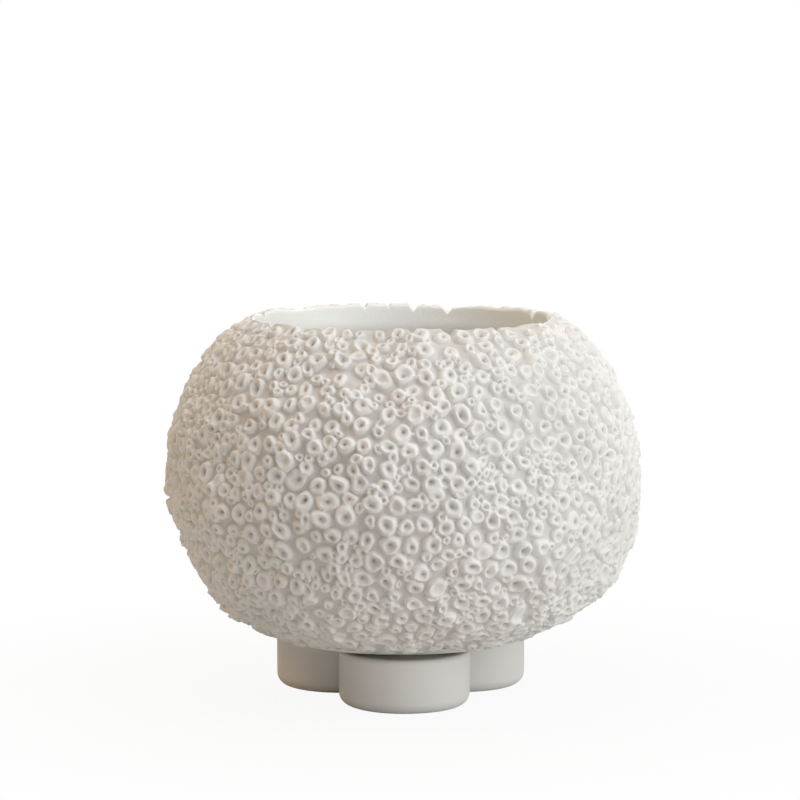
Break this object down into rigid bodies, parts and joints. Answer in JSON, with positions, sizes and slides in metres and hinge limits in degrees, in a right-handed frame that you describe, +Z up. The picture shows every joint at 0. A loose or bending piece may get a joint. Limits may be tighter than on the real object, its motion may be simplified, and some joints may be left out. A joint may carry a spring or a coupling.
{
  "type": "plant pot",
  "caption": "Round wide-mouthed plant pot in matte white ceramic, covered in coral polyps, standing on three puck feet around a drain hole.",
  "frame": {"origin": "centre of the pot on the ground plane, under the middle of the three feet", "axes": "+Z up through the mouth, -Y towards the front foot, +X to the right seen from the front"},
  "size_m": [0.2497, 0.2499, 0.1969],
  "materials": {
    "bisque_bowl": "matte unglazed white, smooth inside",
    "bisque_polyps": "matte unglazed white, hand-built relief",
    "bisque_feet": "matte unglazed white, sponged smooth"
  },
  "bodies": {
    "root": {"bowl": "bisque_bowl", "foot_front": "bisque_feet", "foot_right": "bisque_feet", "foot_left": "bisque_feet", "polyp_row_01": "bisque_polyps", "polyp_row_02": "bisque_polyps", "polyp_row_03": "bisque_polyps", "polyp_row_04": "bisque_polyps", "polyp_row_05": "bisque_polyps", "polyp_row_06": "bisque_polyps", "polyp_row_07": "bisque_polyps", "polyp_row_08": "bisque_polyps", "polyp_row_09": "bisque_polyps", "polyp_row_10": "bisque_polyps", "polyp_row_11": "bisque_polyps", "polyp_row_12": "bisque_polyps", "polyp_row_13": "bisque_polyps", "polyp_row_14": "bisque_polyps", "polyp_row_15": "bisque_polyps", "polyp_row_16": "bisque_polyps", "polyp_row_17": "bisque_polyps", "polyp_row_18": "bisque_polyps", "polyp_row_19": "bisque_polyps", "polyp_row_20": "bisque_polyps", "polyp_row_21": "bisque_polyps", "polyp_row_22": "bisque_polyps", "polyp_row_23": "bisque_polyps"}
  },
  "joints": []
}
